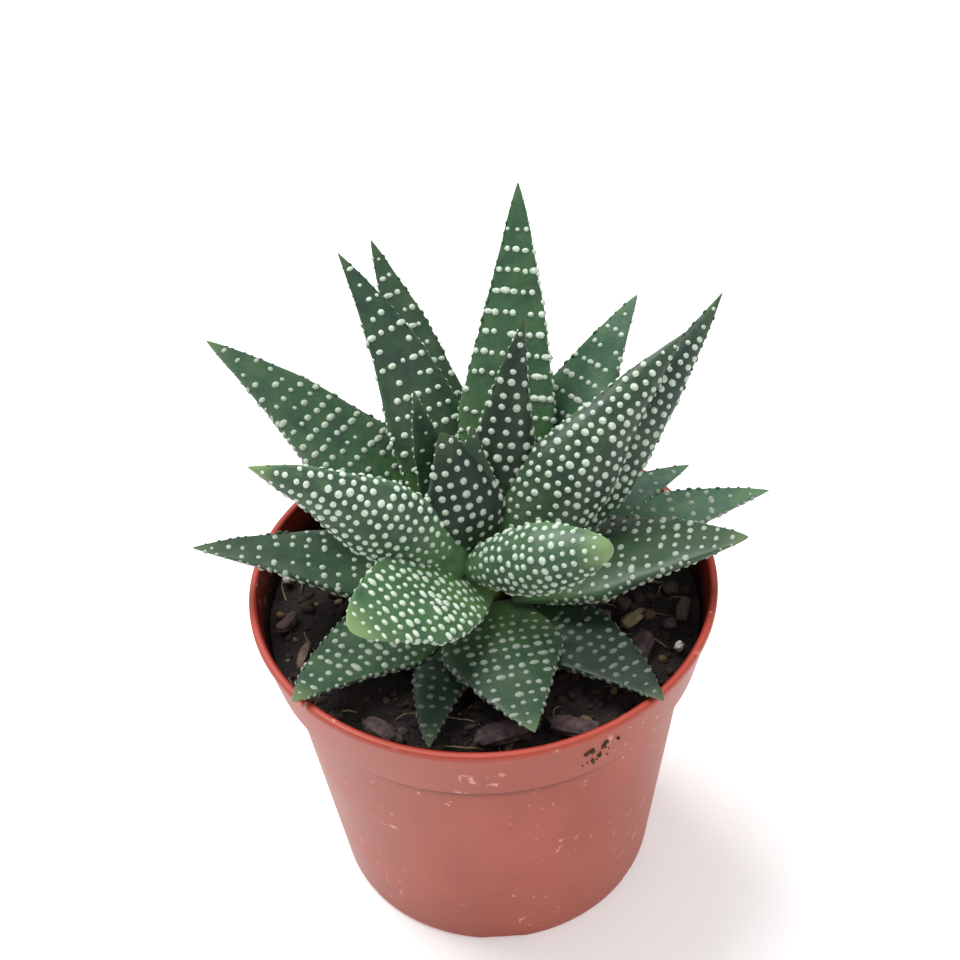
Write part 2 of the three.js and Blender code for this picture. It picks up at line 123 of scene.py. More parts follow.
# How each leaf looks: tone runs from blue-green at 0 to yellow-green at 1, light scales how pale the
# skin is and white how pale the warts are, and ripe how yellow the tip is. light and white hold partly
# each leaf's own age and partly painted light and shade: leaves lying in the shade of others are
# darkened and those in full light made paler. The warts on the inner side stand in rows band apart
# and dot apart in the row, and those on the outer side are outer apart, in millimetres.
LOOKS = [
    dict(tone=0.2, light=0.55, white=0.7, ripe=0.3, band=3.6, dot=2.8, outer=2.8),
    dict(tone=0.35, light=0.7, white=0.8, ripe=0.3, band=3.6, dot=2.8, outer=2.8),
    dict(tone=0.6, light=0.4, white=0.75, ripe=0.3, band=3.6, dot=2.8, outer=3.0),
    dict(tone=0.2, light=0.34, white=0.75, ripe=0.5, band=3.6, dot=2.8, outer=2.9),
    dict(tone=0.5, light=0.7, white=0.9, ripe=0.3, band=3.6, dot=2.8, outer=2.6),
    dict(tone=0.6, light=1.05, white=1.0, ripe=0.9, band=3.6, dot=2.8, outer=2.4),
    dict(tone=0.75, light=1.15, white=0.85, ripe=0.6, band=2.2, dot=2.3, outer=2.3),
    dict(tone=0.75, light=1.0, white=0.9, ripe=0.7, band=2.2, dot=2.4, outer=2.4),
    dict(tone=0.55, light=0.9, white=0.95, ripe=0.1, band=4.4, dot=2.0, outer=3.0),
    dict(tone=0.3, light=0.6, white=0.95, ripe=0.3, band=3.9, dot=2.6, outer=2.8),
    dict(tone=0.5, light=0.58, white=0.8, ripe=0.1, band=4.2, dot=2.1, outer=2.8),
    dict(tone=0.2, light=0.7, white=0.85, ripe=0.2, band=3.6, dot=2.6, outer=2.5),
    dict(tone=0.25, light=1.0, white=0.8, ripe=0.1, band=4.2, dot=2.2, outer=3.0),
    dict(tone=0.5, light=0.68, white=0.62, ripe=0.4, band=3.5, dot=2.8, outer=2.1),
    dict(tone=0.6, light=0.52, white=0.6, ripe=0.6, band=3.0, dot=2.8, outer=2.3),
    dict(tone=0.45, light=0.48, white=0.4, ripe=0.5, band=2.8, dot=2.5, outer=2.3),
    dict(tone=0.35, light=0.5, white=0.6, ripe=0.5, band=3.5, dot=2.8, outer=2.6),
    dict(tone=0.4, light=0.85, white=0.7, ripe=0.4, band=4.0, dot=2.8, outer=2.8),
    dict(tone=0.4, light=0.85, white=0.7, ripe=0.4, band=4.0, dot=2.8, outer=2.8),
    dict(tone=0.4, light=0.85, white=0.7, ripe=0.4, band=4.0, dot=2.8, outer=2.8),
    dict(tone=0.2, light=1.15, white=0.5, ripe=0.2, band=4.2, dot=3.0, outer=2.8),
    dict(tone=0.5, light=0.6, white=0.5, ripe=0.8, band=2.7, dot=2.6, outer=2.3),
    dict(tone=0.05, light=0.3, white=0.24, ripe=0.7, band=2.8, dot=2.7, outer=2.5),
    dict(tone=0.2, light=1.1, white=0.5, ripe=0.1, band=4.2, dot=3.0, outer=3.0),
    dict(tone=0.0, light=0.28, white=0.15, ripe=0.3, band=2.6, dot=2.6, outer=2.6),
]
# The warts' radius on the inner side, outer side and margins, and their spacing along the margins.
INNER_WART, OUTER_WART, MARGIN_WART = 0.76, 0.9, 0.66
MARGIN_SPACING = 2.1
# The rows of warts and the margin warts each start and span these shares of a leaf's length.
ROWS_START, ROWS_SPAN = 0.12, 0.84
MARGIN_START, MARGIN_SPAN = 0.14, 0.82
# A leaf narrower than SLIM_WIDTH has its warts scaled by SLIM_WART.
SLIM_WIDTH, SLIM_WART = 12, 0.7

# What lies on the soil: how pale each bark chip is, and how many loose pieces there are.
CHIP_TONES = [0, 0.03, 0, 0.85, 0.14, 0.03, 0.2, 0.1, 0.05, 0.1]
PERLITE_GRAINS = 4
SOIL_CRUMBS = 900
BARK_CRUMBS = 70
FIBRES = 90
SPECKS = 22


# ---- Camera --------------------------------------------------------------------------------------
def aim_camera(location, target, roll):
    """A camera placed at location, aimed at target and turned by roll degrees about its line of sight."""
    forward = (target - location).normalized()
    across = forward.cross(Vector((0, 0, 1))).normalized()
    upward = across.cross(forward)
    turn = math.radians(roll)
    right = across * math.cos(turn) + upward * math.sin(turn)
    up = upward * math.cos(turn) - across * math.sin(turn)
    data = bpy.data.cameras.new("camera")
    camera = bpy.data.objects.new("camera", data)
    bpy.context.scene.collection.objects.link(camera)
    camera.matrix_world = Matrix((
        (right.x, up.x, -forward.x, location.x),
        (right.y, up.y, -forward.y, location.y),
        (right.z, up.z, -forward.z, location.z),
        (0, 0, 0, 1),
    ))
    data.sensor_width = 36
    data.lens = 56.25
    data.clip_start, data.clip_end = 0.02, 20
    bpy.context.scene.camera = camera


EYE = Vector((0.7, -243.5, 319.2)) * MM
PITCH = math.radians(40.3)
aim_camera(EYE, EYE + Vector((0, math.cos(PITCH), -math.sin(PITCH))), roll=-3.3)


# ---- Mesh helpers --------------------------------------------------------------------------------
def loft_faces(rings, sides):
    """Quads between neighbouring rings of a loft that close round, and a fan of triangles to a pole
    before the first ring and another after the last. They face out where side cross length does."""
    i, j = np.meshgrid(np.arange(rings - 1), np.arange(sides), indexing="ij")
    here = i * sides + j
    beside = i * sides + (j + 1) % sides
    quads = np.stack([here, beside, beside + sides, here + sides], -1).reshape(-1, 4)
    first = np.arange(sides)
    after = (first + 1) % sides
    last = (rings - 1) * sides
    poles = rings * sides
    start = np.stack([np.full(sides, poles), after, first], -1)
    end = np.stack([np.full(sides, poles + 1), last + first, last + after], -1)
    return [quads, np.concatenate([start, end])]


def repeat_faces(face_sets, copies, stride):
    """The faces of one template repeated for copies that each have stride vertices."""
    steps = np.arange(copies)[:, None, None] * stride
    return [(faces[None] + steps).reshape(-1, faces.shape[1]) for faces in face_sets]


def add_piece(name, points, face_sets, material, replaced=(), attributes=None):
    """A mesh object from points in millimetres and face arrays, riding on the plant's one body."""
    mesh = bpy.data.meshes.new(name)
    faces = [face for faces in face_sets for face in faces.tolist()]
    mesh.from_pydata((points * MM).tolist(), [], faces)
    for key, values in (attributes or {}).items():
        layer = mesh.attributes.new(key, "FLOAT", "POINT")
        layer.data.foreach_set("value", values.astype(np.float32))
    mesh.polygons.foreach_set("use_smooth", np.full(len(mesh.polygons), True))
    mesh.materials.append(material)
    mesh.update()
    piece = bpy.data.objects.new(name, mesh)
    bpy.context.scene.collection.objects.link(piece)
    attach(piece, "root")
    if replaced:
        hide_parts(*replaced)
    return piece


def noise(points, size, seed):
    """Smooth value noise from -1 to 1: random values on a cubic lattice of the given size in
    millimetres, blended with the smoothstep of the place inside each cell."""
    count = 4096             # a power of two, so that count - 1 masks the lattice key
    table = np.random.default_rng(seed).uniform(-1, 1, count)
    cell = points / size
    low = np.floor(cell).astype(np.int64)
    part = cell - low
    part = part * part * (3 - 2 * part)
    total = np.zeros(points.shape[:-1])
    for corner in np.ndindex(2, 2, 2):
        step = np.array(corner)
        lattice = low + step
        key = lattice[..., 0] * 73856093 ^ lattice[..., 1] * 19349663 ^ lattice[..., 2] * 83492791
        weight = np.prod(np.where(step == 1, part, 1 - part), axis=-1)
        total += weight * table[key & (count - 1)]
    return total


def smoothstep(x, low, high):
    """0 below low, 1 above high, and a cubic ease between."""
    s = np.clip((x - low) / (high - low), 0, 1)
    return s * s * (3 - 2 * s)


# ---- Material helpers ----------------------------------------------------------------------------
# A Map Range node takes a value, the range it comes from and the range it goes to at inputs 0 to 4,
# and is clamped. A Noise node takes its place, scale, detail and roughness at inputs 0, 2, 3 and 4,
# and its scale here is one over the size of its lumps.
SMOOTH = {"interpolation_type": "SMOOTHSTEP"}


def colour(code):
    """An sRGB hex code as a linear RGBA tuple."""
    parts = [int(code[i:i + 2], 16) / 255 for i in (1, 3, 5)]
    linear = [c / 12.92 if c <= 0.04045 else ((c + 0.055) / 1.055) ** 2.4 for c in parts]
    return (*linear, 1)


def add_node(tree, kind, inputs=(), **settings):
    """A node of a kind, with its settings made and each input given a value or linked to a socket."""
    node = tree.nodes.new("ShaderNode" + kind)
    for key, value in settings.items():
        setattr(node, key, value)
    for key, value in dict(inputs).items():
        if isinstance(value, bpy.types.NodeSocket):
            tree.links.new(value, node.inputs[key])
        else:
            node.inputs[key].default_value = value
    return node


def new_material(name):
    """An empty node material with its Principled shader linked to the output."""
    material = bpy.data.materials.new(name)
    material.use_nodes = True
    tree = material.node_tree
    tree.nodes.clear()
    shader = add_node(tree, "BsdfPrincipled")
    output = add_node(tree, "OutputMaterial")
    tree.links.new(shader.outputs[0], output.inputs[0])
    return material, tree, shader


def layer(tree, under, over, pattern, low=0.0, high=1.0, least=0.0, most=1.0, ease="SMOOTHSTEP"):
    """The colour under with the colour over laid on it where a pattern rises from low to high: the
    share of over goes from least to most, smoothly unless ease is LINEAR."""
    cover = add_node(tree, "MapRange", {0: pattern, 1: low, 2: high, 3: least, 4: most},
                     interpolation_type=ease)
    # A Mix node takes its factor at input 0 and two colours at 6 and 7, and gives a colour at output 2.
    blend = add_node(tree, "Mix", {0: cover.outputs[0], 6: under, 7: over}, data_type="RGBA")
    return blend.outputs[2]


def finish_shader(tree, shader, base, roughness, height, depth, **fixed):
    """Links colour, roughness and a bump of depth millimetres, and sets the fixed sockets."""
    tree.links.new(base, shader.inputs["Base Color"])
    if isinstance(roughness, bpy.types.NodeSocket):
        tree.links.new(roughness, shader.inputs["Roughness"])
    else:
        shader.inputs["Roughness"].default_value = roughness
    bump = add_node(tree, "Bump", {"Height": height, "Strength": 1.0, "Distance": depth * MM})
    tree.links.new(bump.outputs[0], shader.inputs["Normal"])
    for key, value in fixed.items():
        shader.inputs[key.replace("_", " ")].default_value = value


# ---- Materials -----------------------------------------------------------------------------------
def leaf_skin():
    """Succulent leaf with a waxy cuticle: deep green, paler at the root, blue-green on the outer side,
    a yellow-green tip, and chalky white warts. Satin, with a faint bloom at grazing angles."""
    material, tree, shader = new_material("waxy_succulent_leaf")
    place = add_node(tree, "TexCoord").outputs["Object"]
    read = {key: add_node(tree, "Attribute", attribute_name=key).outputs["Fac"]
            for key in ("along", "outer", "wart", "edge", "tip", "tone", "light", "white")}
    blotch = add_node(tree, "TexNoise", {0: place, 2: 1 / (6 * MM), 3: 3.0, 4: 0.55}).outputs[0]
    streak = add_node(tree, "TexNoise", {0: place, 2: 1 / (1.8 * MM), 3: 3.0, 4: 0.55}).outputs[0]
    fine = add_node(tree, "TexNoise", {0: place, 2: 1 / (0.55 * MM), 3: 2.0, 4: 0.55}).outputs[0]
    inner = layer(tree, colour("#2F5543"), colour("#43683C"), read["tone"], ease="LINEAR")
    inner = layer(tree, colour("#5D8A4A"), inner, read["along"], 0.12, 0.5)
    outer = layer(tree, colour("#2B433C"), colour("#3D5A3E"), read["tone"], ease="LINEAR")
    outer = layer(tree, colour("#587B51"), outer, read["along"], 0.08, 0.4)
    skin = layer(tree, inner, outer, read["outer"], ease="LINEAR")
    skin = layer(tree, skin, colour("#517049"), blotch, 0.45, 0.68, 0.0, 0.5)
    skin = layer(tree, skin, colour("#25423A"), blotch, 0.3, 0.48, 0.55, 0.0)
    skin = layer(tree, skin, colour("#6E8A62"), streak, 0.52, 0.75, 0.0, 0.22)
    skin = layer(tree, skin, colour("#71906A"), read["edge"], 0.35, 0.95, 0.0, 0.3)
    skin = layer(tree, skin, colour("#86A068"), read["tip"], ease="LINEAR")
    cap = layer(tree, colour("#B7CCB3"), colour("#DEEADA"), fine, 0.35, 0.65)
    cap = layer(tree, cap, colour("#8FAE7C"), read["along"], 0.0, 0.35, 0.45, 0.0)
    # Painted light and shade, with each leaf's own age: skin and warts are scaled by the leaf's light and
    # white, so leaves lying in the shade of others come out darker and those in full light paler.
    scale = {"data_type": "RGBA", "blend_type": "MULTIPLY"}
    skin = add_node(tree, "Mix", {0: 1.0, 6: skin, 7: read["light"]}, **scale).outputs[2]
    cap = add_node(tree, "Mix", {0: 1.0, 6: cap, 7: read["white"]}, **scale).outputs[2]
    base = layer(tree, skin, cap, read["wart"], 0.25, 0.85)
    rough = add_node(tree, "MapRange", {0: read["wart"], 1: 0.2, 2: 0.8, 3: 0.42, 4: 0.6}, **SMOOTH)
    finish_shader(tree, shader, base, rough.outputs[0], fine, 0.05, IOR=1.42, Subsurface_Weight=0.06,
                  Sheen_Weight=0.1, Sheen_Roughness=0.45)
    shader.inputs["Subsurface Radius"].default_value = (0.4, 1.0, 0.3)
    shader.inputs["Subsurface Scale"].default_value = 1.5 * MM
    return material


def pot_inside(tree, radius, height):
    """1 on the pot's inner face above the collar's ledge and 0 elsewhere: nearer the axis than the
    middle of the collar's tapered wall, and higher than the ledge."""
    middle = COLLAR_BOTTOM_RADIUS - WALL / 2
    wall = add_node(tree, "MapRange", {0: height, 1: COLLAR_BOTTOM * MM, 2: LIP_BOTTOM * MM,
                                       3: middle * MM, 4: (middle + COLLAR_TAPER) * MM})
    ledge = (COLLAR_BOTTOM + WALL) * MM
    within = add_node(tree, "Math", {0: radius, 1: wall.outputs[0]}, operation="LESS_THAN")
    above = add_node(tree, "Math", {0: height, 1: ledge}, operation="GREATER_THAN")
    both = add_node(tree, "Math", {0: within.outputs[0], 1: above.outputs[0]}, operation="MULTIPLY")
    return both.outputs[0]


def moulded_plastic():
    """Injection-moulded polypropylene, terracotta orange: satin and faintly mottled, with painted light
    making the thin lip a brighter red, a band of painted shade under the collar, pale handling
    scuffs and, inside, painted shade darkening the inner wall towards the soil."""
    material, tree, shader = new_material("moulded_terracotta_polypropylene")
    place = add_node(tree, "TexCoord").outputs["Object"]
    axes = add_node(tree, "SeparateXYZ", {0: place})
    height = axes.outputs["Z"]
    flat = add_node(tree, "CombineXYZ", {0: axes.outputs["X"], 1: axes.outputs["Y"]})
    radius = add_node(tree, "VectorMath", {0: flat.outputs[0]}, operation="LENGTH").outputs["Value"]
    cloud = add_node(tree, "TexNoise", {0: place, 2: 1 / (28 * MM), 3: 3.0, 4: 0.55}).outputs[0]
    fine = add_node(tree, "TexNoise", {0: place, 2: 1 / (0.7 * MM), 3: 2.0, 4: 0.55}).outputs[0]
    tall = add_node(tree, "Mapping", {0: place, 3: (1.0, 1.0, 0.8)}).outputs[0]
    scratch = add_node(tree, "TexNoise", {0: tall, 2: 1 / (2.6 * MM), 3: 3.0, 4: 0.55}).outputs[0]
    patch = add_node(tree, "TexNoise", {0: place, 2: 1 / (16 * MM), 3: 1.0, 4: 0.55}).outputs[0]
    base = layer(tree, colour("#984635"), colour("#A65443"), cloud, 0.35, 0.65)
    # Painted light: the thin lip is turned a brighter, deeper red, for light glowing through the thin
    # plastic.
    base = layer(tree, base, colour("#A84434"), height, LIP_BOTTOM * MM, (LIP_BOTTOM + 1) * MM)

    # Painted shade under the collar's overhang: a dark band that grows from 6 mm to 2.4 mm under the
    # collar and stops just above its lower edge.
    collar_shade_low, collar_shade_full, collar_shade_top = COLLAR_BOTTOM - 6, COLLAR_BOTTOM - 2.4, COLLAR_BOTTOM + 0.6
    rise = add_node(tree, "MapRange", {0: height, 1: collar_shade_low * MM, 2: collar_shade_full * MM}, **SMOOTH)
    stop = add_node(tree, "MapRange", {0: height, 1: collar_shade_top * MM, 2: COLLAR_BOTTOM * MM}, **SMOOTH)
    collar_shade = add_node(tree, "Math", {0: rise.outputs[0], 1: stop.outputs[0]}, operation="MULTIPLY")
    base = layer(tree, base, colour("#64281F"), collar_shade.outputs[0], 0.0, 1.0, 0.0, 0.7)

    # Painted shade inside the pot: the inner wall above the ledge is darkened, near black just above the
    # soil and deep red at the lip.
    inner_shade_low, inner_shade_top = (SOIL_LEVEL + 1) * MM, (LIP_BOTTOM + 1) * MM
    inner_shade = layer(tree, colour("#2A1210"), colour("#8E2A1E"), height, inner_shade_low, inner_shade_top)
    base = layer(tree, base, inner_shade, pot_inside(tree, radius, height), ease="LINEAR")

    scuff = add_node(tree, "MapRange", {0: scratch, 1: 0.61, 2: 0.7, 3: 0.0, 4: 0.7}, **SMOOTH)
    spread = add_node(tree, "MapRange", {0: patch, 1: 0.48, 2: 0.6}, **SMOOTH)
    mark = add_node(tree, "Math", {0: scuff.outputs[0], 1: spread.outputs[0]}, operation="MULTIPLY")
    base = layer(tree, base, colour("#D39A88"), mark.outputs[0], ease="LINEAR")
    rough = add_node(tree, "MapRange", {0: cloud, 1: 0.3, 2: 0.7, 3: 0.38, 4: 0.5}, **SMOOTH)
    finish_shader(tree, shader, base, rough.outputs[0], fine, 0.02, IOR=1.49, Specular_IOR_Level=0.32)
    return material


def damp_peat():
    """Damp peat potting mix: crumbly and matt, near black with brown fibres and a few pale specks."""
    material, tree, shader = new_material("damp_peat_mix")
    place = add_node(tree, "TexCoord").outputs["Object"]
    tone = add_node(tree, "Attribute", attribute_name="tone").outputs["Fac"]
    coarse = add_node(tree, "TexNoise", {0: place, 2: 1 / (5 * MM), 3: 3.0, 4: 0.55}).outputs[0]
    fine = add_node(tree, "TexNoise", {0: place, 2: 1 / (0.8 * MM), 3: 4.0, 4: 0.55}).outputs[0]
    base = layer(tree, colour("#1A1516"), colour("#2C2323"), coarse, 0.35, 0.65)
    base = layer(tree, base, colour("#4A382C"), fine, 0.6, 0.78)
    base = layer(tree, base, colour("#8B7350"), tone, ease="LINEAR")
    finish_shader(tree, shader, base, 0.92, fine, 0.4, IOR=1.4)
    return material


def broken_bark():
    """Composted bark chips: dark purple-brown, matt, with paler fibres along the grain."""
    material, tree, shader = new_material("composted_bark")
    place = add_node(tree, "TexCoord").outputs["Object"]
    tone = add_node(tree, "Attribute", attribute_name="tone").outputs["Fac"]
    coarse = add_node(tree, "TexNoise", {0: place, 2: 1 / (2.5 * MM), 3: 4.0, 4: 0.55}).outputs[0]
    fine = add_node(tree, "TexNoise", {0: place, 2: 1 / (0.5 * MM), 3: 3.0, 4: 0.55}).outputs[0]
    base = layer(tree, colour("#2A2022"), colour("#5A4648"), coarse, 0.35, 0.7)
    base = layer(tree, base, colour("#948463"), tone, ease="LINEAR")
    base = layer(tree, base, colour("#8C7A6C"), fine, 0.62, 0.8, 0.0, 0.5)
    finish_shader(tree, shader, base, 0.85, fine, 0.25, IOR=1.45)
    return material


def perlite_stone():
    """Expanded perlite: off-white, matt and pitted volcanic glass."""
    material, tree, shader = new_material("expanded_perlite")
    place = add_node(tree, "TexCoord").outputs["Object"]
    fine = add_node(tree, "TexNoise", {0: place, 2: 1 / (0.5 * MM), 3: 3.0, 4: 0.55}).outputs[0]
    base = layer(tree, colour("#B8B0A0"), colour("#E9E6DE"), fine, 0.35, 0.65)
    finish_shader(tree, shader, base, 0.9, fine, 0.25, IOR=1.5)
    return material


def stem_bark():
    """Short fleshy stem: dull olive green with brown leaf scars."""
    material, tree, shader = new_material("fleshy_stem")
    place = add_node(tree, "TexCoord").outputs["Object"]
    level = add_node(tree, "Mapping", {0: place, 3: (0.3, 0.3, 1.0)}).outputs[0]
    scars = add_node(tree, "TexNoise", {0: level, 2: 1 / (2.5 * MM), 3: 2.0, 4: 0.55}).outputs[0]
    base = layer(tree, colour("#6C7F45"), colour("#6A5236"), scars, 0.4, 0.65)
    finish_shader(tree, shader, base, 0.7, scars, 0.3, IOR=1.42)
    return material


LEAF_SKIN = leaf_skin()
PLASTIC = moulded_plastic()
PEAT = damp_peat()
BARK = broken_bark()
PERLITE = perlite_stone()
STEM = stem_bark()


# ---- Pot -----------------------------------------------------------------------------------------
def rounded_profile(corners, steps=6):
    """A profile of (radius, height, rounding) corners, each rounded corner replaced by a quadratic
    curve that leaves and meets the two edges at the rounding distance."""
    points = []
    spots = np.array([c[:2] for c in corners], float)
    for i, (r, z, rounding) in enumerate(corners):
        if rounding == 0 or i in (0, len(corners) - 1):
            points.append((r, z))
            continue
        before, here, after = spots[i - 1], spots[i], spots[i + 1]
        start = here + (before - here) / np.linalg.norm(before - here) * rounding
        end = here + (after - here) / np.linalg.norm(after - here) * rounding
        t = np.linspace(0, 1, steps)[:, None]
        points.extend(((1 - t) ** 2 * start + 2 * t * (1 - t) * here + t ** 2 * end).tolist())
    return np.array(points)


def revolve(profile, sides):
    """Rings of a profile turned about the +Z axis: x = r cos a, y = r sin a. The profile's first and
    last points lie on the axis and become the poles."""
    angle = np.linspace(0, 2 * np.pi, sides, endpoint=False)
    rings = profile[1:-1]
    x = rings[:, :1] * np.cos(angle)
    y = rings[:, :1] * np.sin(angle)
    z = np.repeat(rings[:, 1:], sides, axis=1)
    points = np.stack([x, y, z], -1).reshape(-1, 3)
    poles = np.array([[0, 0, profile[0, 1]], [0, 0, profile[-1, 1]]])
    return np.concatenate([points, poles]), loft_faces(len(rings), sides)


def inner_radius(z):
    """Radius of the pot's inner wall at height z, in its straight body or its collar."""
    ledge = COLLAR_BOTTOM + WALL
    collar = COLLAR_BOTTOM_RADIUS + COLLAR_TAPER * np.clip((z - ledge) / (LIP_BOTTOM - ledge), 0, 1)
    body = BASE_RADIUS + (BODY_TOP_RADIUS - BASE_RADIUS) * z / COLLAR_BOTTOM
    return np.where(z > ledge, collar, body) - WALL


def cut(piece, cutters):
    """piece with the cutters taken out by an exact boolean, applied; the cutters are removed."""
    for cutter in cutters:
        modifier = piece.modifiers.new("cut", "BOOLEAN")
        modifier.operation = "DIFFERENCE"
        modifier.solver = "EXACT"
        modifier.object = cutter
    graph = bpy.context.evaluated_depsgraph_get()
    whole = bpy.data.meshes.new_from_object(piece.evaluated_get(graph))
    piece.modifiers.clear()
    piece.data = whole
    for cutter in cutters:
        bpy.data.objects.remove(cutter)


def loose_mesh(name, points, face_sets):
    """A bare mesh object in millimetres, used as a cutter."""
    mesh = bpy.data.meshes.new(name)
    faces = [face for faces in face_sets for face in faces.tolist()]
    mesh.from_pydata((points * MM).tolist(), [], faces)
    cutter = bpy.data.objects.new(name, mesh)
    bpy.context.scene.collection.objects.link(cutter)
    return cutter


def make_pot():
    """The pot's wall profile with small roundings at every edge, turned about the axis, with round
    drainage holes cut through the floor and shallow notches cut in the foot."""
    profile = rounded_profile([
        (0, 0, 0),
        (BASE_RADIUS, 0, 1.5),
        (BASE_RADIUS + (BODY_TOP_RADIUS - BASE_RADIUS) * 3 / COLLAR_BOTTOM, 3, 0),
        (BODY_TOP_RADIUS, COLLAR_BOTTOM, 0.7),
        (COLLAR_BOTTOM_RADIUS, COLLAR_BOTTOM + WALL * 0.4, 0.6),
        (COLLAR_TOP_RADIUS, LIP_BOTTOM - 0.1, 0.25),
        (RIM_RADIUS, LIP_BOTTOM + 0.3, 0.3),
        (RIM_RADIUS, POT_HEIGHT, 0.7),
        (COLLAR_TOP_RADIUS - WALL, POT_HEIGHT, 0.7),
        (COLLAR_TOP_RADIUS - WALL, LIP_BOTTOM, 0.4),
        (COLLAR_BOTTOM_RADIUS - WALL, COLLAR_BOTTOM + WALL, 0.5),
        (BODY_TOP_RADIUS - WALL, COLLAR_BOTTOM, 0.5),
        (float(inner_radius(FLOOR)), FLOOR, 1.0),
        (0, FLOOR, 0),
    ])
    points, faces = revolve(profile, 192)
    pot = add_piece("nursery_pot", points, faces, PLASTIC, ["pot"])
    cutters = []
    bore = np.array([(0, -3), (DRAIN_HOLE_RADIUS, -3), (DRAIN_HOLE_RADIUS, 5), (0, 5)])
    for i in range(DRAIN_HOLES):
        angle = 2 * math.pi * (i + 0.5) / DRAIN_HOLES
        drill, drill_faces = revolve(bore, 32)
        drill += DRAIN_CIRCLE_RADIUS * np.array([math.cos(angle), math.sin(angle), 0])
        cutters.append(loose_mesh("drill", drill, drill_faces))
    disc = np.array([(0, -1), (1, -1), (1, 1), (0, 1)])
    for i in range(FOOT_NOTCHES):
        angle = 2 * math.pi * (i + 0.5) / FOOT_NOTCHES
        blade, blade_faces = revolve(disc, 24)
        outward = np.array([math.cos(angle), math.sin(angle), 0])
        sideways = np.array([-math.sin(angle), math.cos(angle), 0])
        turn = np.stack([outward, sideways, [0, 0, 1]])
        blade = (blade * FOOT_NOTCH_HALF) @ turn + BASE_RADIUS * outward
        cutters.append(loose_mesh("blade", blade, blade_faces))
    cut(pot, cutters)
    pot.data.polygons.foreach_set("use_smooth", np.full(len(pot.data.polygons), True))
    pot.data.set_sharp_from_angle(angle=math.radians(35))


# ---- Soil and what lies on it --------------------------------------------------------------------
# The soil's radius at its surface, just clear of the pot's wall.
SOIL_EDGE = float(inner_radius(SOIL_LEVEL)) - GAP


def soil_surface(x, y):
    """Height of the soil: a low crown that sinks to nothing at the wall, with lumps of 9, 3 and 1.2
    millimetres.
    """
    flat = np.stack([x, y, np.zeros_like(x)], -1)
    crown = SOIL_CROWN * (1 - (np.hypot(x, y) / SOIL_EDGE) ** 2) * 0.6
    lumps = 0.9 * noise(flat, 9, 1) + 0.55 * noise(flat, 3.1, 2) + 0.3 * noise(flat, 1.2, 3)
    return SOIL_LEVEL + crown + lumps - 0.3


def make_soil():
    """A closed body of revolution inside the pot, whose top rings carry the lumpy soil surface."""
    floor = FLOOR + GAP
    wall = np.array([
        (0, floor), (float(inner_radius(floor)) - GAP, floor),
        (BODY_TOP_RADIUS - WALL - GAP, COLLAR_BOTTOM + GAP),
        (COLLAR_BOTTOM_RADIUS - WALL - GAP, COLLAR_BOTTOM + WALL + GAP),
    ])
    radii = SOIL_EDGE * np.linspace(1, 0, 121)
    top = np.stack([radii, np.full_like(radii, SOIL_LEVEL)], -1)
    points, faces = revolve(np.concatenate([wall, top]), 320)
    on_top = points[:, 2] > SOIL_LEVEL - 0.01
    points[on_top, 2] = soil_surface(points[on_top, 0], points[on_top, 1])
    tone = np.zeros(len(points))
    add_piece("peat_fill", points, faces, PEAT, ["potting_soil"], {"tone": tone})


def lump_template(rings, sides):
    """Points of a unit sphere by latitude rings, with its faces."""
    latitude = np.pi * np.arange(rings + 1) / rings - np.pi / 2
    profile = np.stack([np.cos(latitude), np.sin(latitude)], -1)
    return revolve(profile, sides)


def scatter_lumps(name, spots, radii, flatten, rough, template, material, tones, seed):
    """Copies of a unit lump at spots, each stretched at random, roughened by noise read at a place of
    its own, and turned about +Z."""
    unit, faces = template
    count = len(spots)
    local = np.random.default_rng(seed)
    stretch = local.uniform(0.7, 1.35, (count, 1, 3)) * np.array([1, 1, flatten])
    turn = local.uniform(0, 2 * np.pi, count)
    shape = unit[None] * stretch
    apart = 31 * np.arange(count)[:, None, None]
    shape = shape * (1 + rough * noise(shape * 1.6 + apart, 1.0, seed))[..., None]
    x = shape[..., 0] * np.cos(turn)[:, None] - shape[..., 1] * np.sin(turn)[:, None]
    y = shape[..., 0] * np.sin(turn)[:, None] + shape[..., 1] * np.cos(turn)[:, None]
    placed = np.stack([x, y, shape[..., 2]], -1) * radii[:, None, None] + spots[:, None]
    tone = np.repeat(tones, len(unit))
    all_faces = repeat_faces(faces, count, len(unit))
    add_piece(name, placed.reshape(-1, 3), all_faces, material, attributes={"tone": tone})


def random_ring(count, low, high, local):
    """count places spread evenly over the ring of soil between two radii."""
    radius = np.sqrt(local.uniform(low ** 2, high ** 2, count))
    angle = local.uniform(0, 2 * np.pi, count)
    x, y = radius * np.cos(angle), radius * np.sin(angle)
    return np.stack([x, y, soil_surface(x, y)], -1)


def make_crumbs():
    """Soil crumbs and a few tan bark crumbs, half sunk in the surface."""
    local = np.random.default_rng(7)
    count = SOIL_CRUMBS
    radii = local.uniform(0.35, 1.25, count) ** 1.2
    spots = random_ring(count, 8, SOIL_EDGE - 1.6, local)
    spots[:, 2] += radii * 0.15
    tan = local.uniform(0, 1, count) > 0.93
    tones = np.where(tan, local.uniform(0.3, 0.8, count), local.uniform(0, 0.12, count))
    scatter_lumps("soil_crumbs", spots, radii, 0.75, 0.35, lump_template(5, 7), PEAT, tones, 11)
    count = BARK_CRUMBS
    radii = local.uniform(0.9, 2.1, count)
    spots = random_ring(count, 22, SOIL_EDGE - 2.2, local)
    spots[:, 2] += radii * 0.2
    tones = local.uniform(0, 1, count) ** 3
    scatter_lumps("bark_crumbs", spots, radii, 0.5, 0.3, lump_template(6, 9), BARK, tones, 12)


